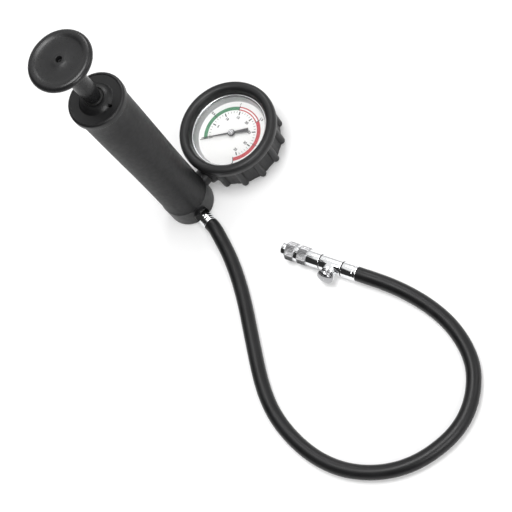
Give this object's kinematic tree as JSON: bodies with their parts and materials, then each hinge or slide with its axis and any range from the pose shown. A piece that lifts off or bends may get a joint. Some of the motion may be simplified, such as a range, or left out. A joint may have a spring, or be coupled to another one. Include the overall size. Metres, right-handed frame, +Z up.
{
  "type": "radiator pressure tester",
  "caption": "Hand pump with a pull-up plunger, a pressure gauge in a rubber boot beside its base, and a hose that ends in a tee with a relief valve and a quick coupler.",
  "frame": {"origin": "middle of the base cap's underside, on which the pump stands", "axes": "+Z up along the pump, +X towards the gauge; the hose leaves the base cap near -Y"},
  "size_m": [0.2111, 0.3651, 0.2641],
  "materials": {
    "cap_plastic": "moulded satin black",
    "knob_plastic": "satin black",
    "grip_rubber": "matte black",
    "boot_rubber": "satin black rubber",
    "hose_rubber": "satin black rubber",
    "seal_rubber": "matte",
    "barrel_alloy": "drawn",
    "bush_bronze": "machined",
    "rod_steel": "hard chrome",
    "steel": "plain",
    "spring_steel": "bright wire",
    "black_steel": "blackened",
    "piston_plastic": "white acetal",
    "gauge_steel": "satin",
    "gauge_glass": "clear",
    "dial_white": "white enamel with a printed scale",
    "pointer_black": "matte black",
    "hub_silver": "satin",
    "brass": "machined",
    "copper": "annealed copper",
    "fitting_chrome": "bright plated",
    "knurled_chrome": "plated over knurling"
  },
  "bodies": {
    "pump": {"base_cap": "cap_plastic", "barrel_tube": "barrel_alloy", "grip_sleeve": "grip_rubber", "top_cap": "cap_plastic", "rod_bush": "bush_bronze", "wiper_ring": "seal_rubber", "barrel_seals": "seal_rubber", "valve_plate": "brass", "check_spring": "spring_steel", "gauge_boot": "boot_rubber", "gauge_case": "gauge_steel", "gauge_bezel": "gauge_steel", "gauge_lens": "gauge_glass", "lens_spacer": "gauge_steel", "dial_plate": "dial_white", "hairspring": "spring_steel", "movement_back_plate": "brass", "movement_front_plate": "brass", "movement_screws": "steel", "pressure_tube": "brass", "gauge_socket": "brass", "stem_washer": "copper", "pump_fitting": "fitting_chrome", "pump_ferrule": "fitting_chrome", "hose": "hose_rubber", "coupler_ferrule": "fitting_chrome", "hose_tail": "brass", "tee_body": "fitting_chrome", "relief_body": "fitting_chrome", "relief_spring": "spring_steel", "coupler_body": "fitting_chrome", "knurled_collar": "knurled_chrome", "sleeve_spring": "spring_steel", "lock_balls": "steel", "mouth_seal": "seal_rubber", "mouth_spring": "spring_steel"},
    "piston_seal": {"piston_cup": "seal_rubber"},
    "plunger": {"plunger_rod": "rod_steel", "buffer_ring": "seal_rubber", "piston_head": "piston_plastic", "piston_washer": "steel", "piston_nut": "steel", "knob": "knob_plastic", "knob_screw": "black_steel"},
    "check_valve": {"check_disc": "seal_rubber"},
    "sector": {"sector_gear": "brass"},
    "needle": {"pointer": "pointer_black", "pointer_hub": "hub_silver", "pinion_shaft": "brass"},
    "link": {"link_bar": "steel"},
    "sleeve": {"knurled_sleeve": "knurled_chrome"},
    "mouth_pin": {"mouth_valve": "brass"},
    "relief": {"relief_cap": "fitting_chrome", "relief_stem": "steel", "relief_seal": "seal_rubber"}
  },
  "joints": [
    {"name": "pump_stroke", "type": "slide", "parent": "pump", "child": "piston_seal", "axis": [0, 0, 1], "range_m": [0, 0.144]},
    {"name": "plunger_turn", "type": "hinge", "parent": "piston_seal", "child": "plunger", "pos_m": [0, 0, 0.1], "axis": [0, 0, 1], "continuous": true},
    {"name": "check_lift", "type": "slide", "parent": "pump", "child": "check_valve", "axis": [0, 0, -1], "range_m": [0, 0.0015], "stiffness_N_per_m": 100, "springref_m": -0.0005, "deforming": ["check_spring"]},
    {"name": "sector_swing", "type": "hinge", "parent": "pump", "child": "sector", "pos_m": [0.065, -0.016, 0.0137], "axis": [0, 0, 1], "range_deg": [0, 38.57], "stiffness_Nm_per_rad": 0.004},
    {"name": "needle_turn", "type": "hinge", "parent": "pump", "child": "needle", "pos_m": [0.065, 0, 0.0246], "axis": [0, 0, 1], "range_deg": [-270, 0]},
    {"name": "link_swing", "type": "hinge", "parent": "sector", "child": "link", "pos_m": [0.06346, -0.02023, 0.0149], "axis": [0, 0, 1], "range_deg": [-38.6, 0]},
    {"name": "sleeve_slide", "type": "slide", "parent": "pump", "child": "sleeve", "axis": [0.299, -0.9542, 0], "range_m": [0, 0.0025], "stiffness_N_per_m": 400, "springref_m": -0.002, "deforming": ["sleeve_spring"]},
    {"name": "mouth_pin_slide", "type": "slide", "parent": "pump", "child": "mouth_pin", "axis": [0.299, -0.9542, 0], "range_m": [0, 0.002], "stiffness_N_per_m": 200, "springref_m": -0.001, "deforming": ["mouth_spring"]},
    {"name": "relief_press", "type": "slide", "parent": "pump", "child": "relief", "axis": [0.9542, 0.299, 0], "range_m": [0, 0.0015], "stiffness_N_per_m": 400, "springref_m": -0.001, "deforming": ["relief_spring"]}
  ],
  "couplings": [
    {"joint": "needle_turn", "follows": "sector_swing", "ratio": -7},
    {"joint": "link_swing", "follows": "sector_swing", "ratio": -1}
  ]
}
